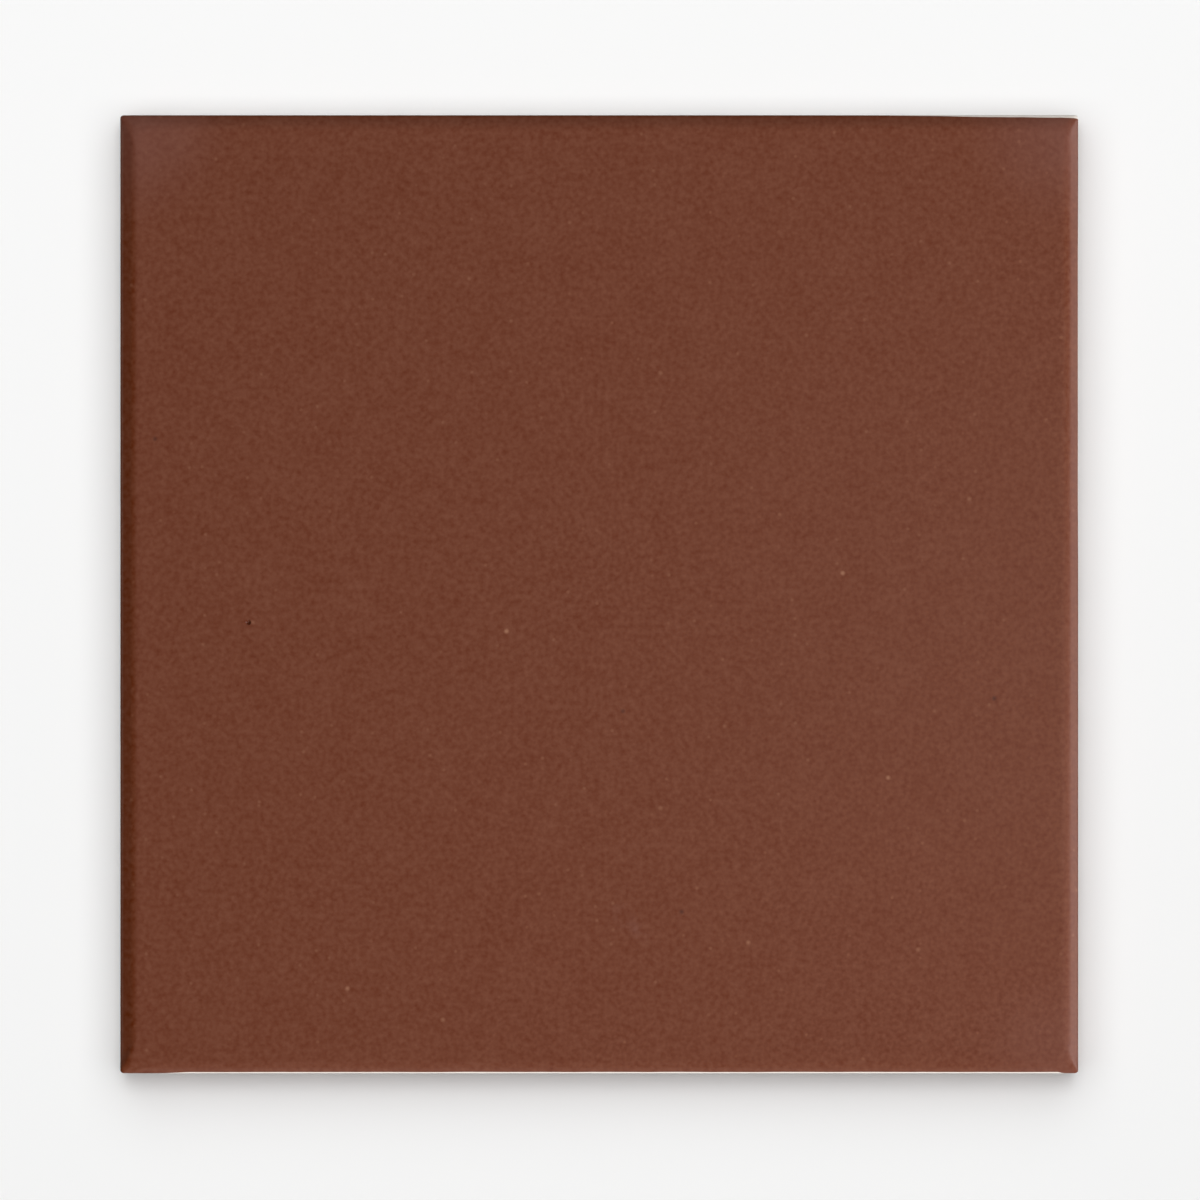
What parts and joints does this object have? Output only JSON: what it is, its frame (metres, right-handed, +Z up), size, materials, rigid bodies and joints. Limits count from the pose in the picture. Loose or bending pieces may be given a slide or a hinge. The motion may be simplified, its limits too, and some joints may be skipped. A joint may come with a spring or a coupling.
{
  "type": "ceramic tile",
  "caption": "Square terracotta-look ceramic tile for floors and walls, with a narrow cushion edge round its face and a ribbed back that keys into adhesive.",
  "frame": {"origin": "middle of the back, on the bed plane that the ribs stand on", "axes": "+Z up out of the glazed face; +X to the right and +Y to the top of the picture, along the sides"},
  "size_m": [0.15, 0.15, 0.008],
  "materials": {
    "tile_ceramic": "satin"
  },
  "bodies": {
    "root": {"tile": "tile_ceramic"}
  },
  "joints": []
}
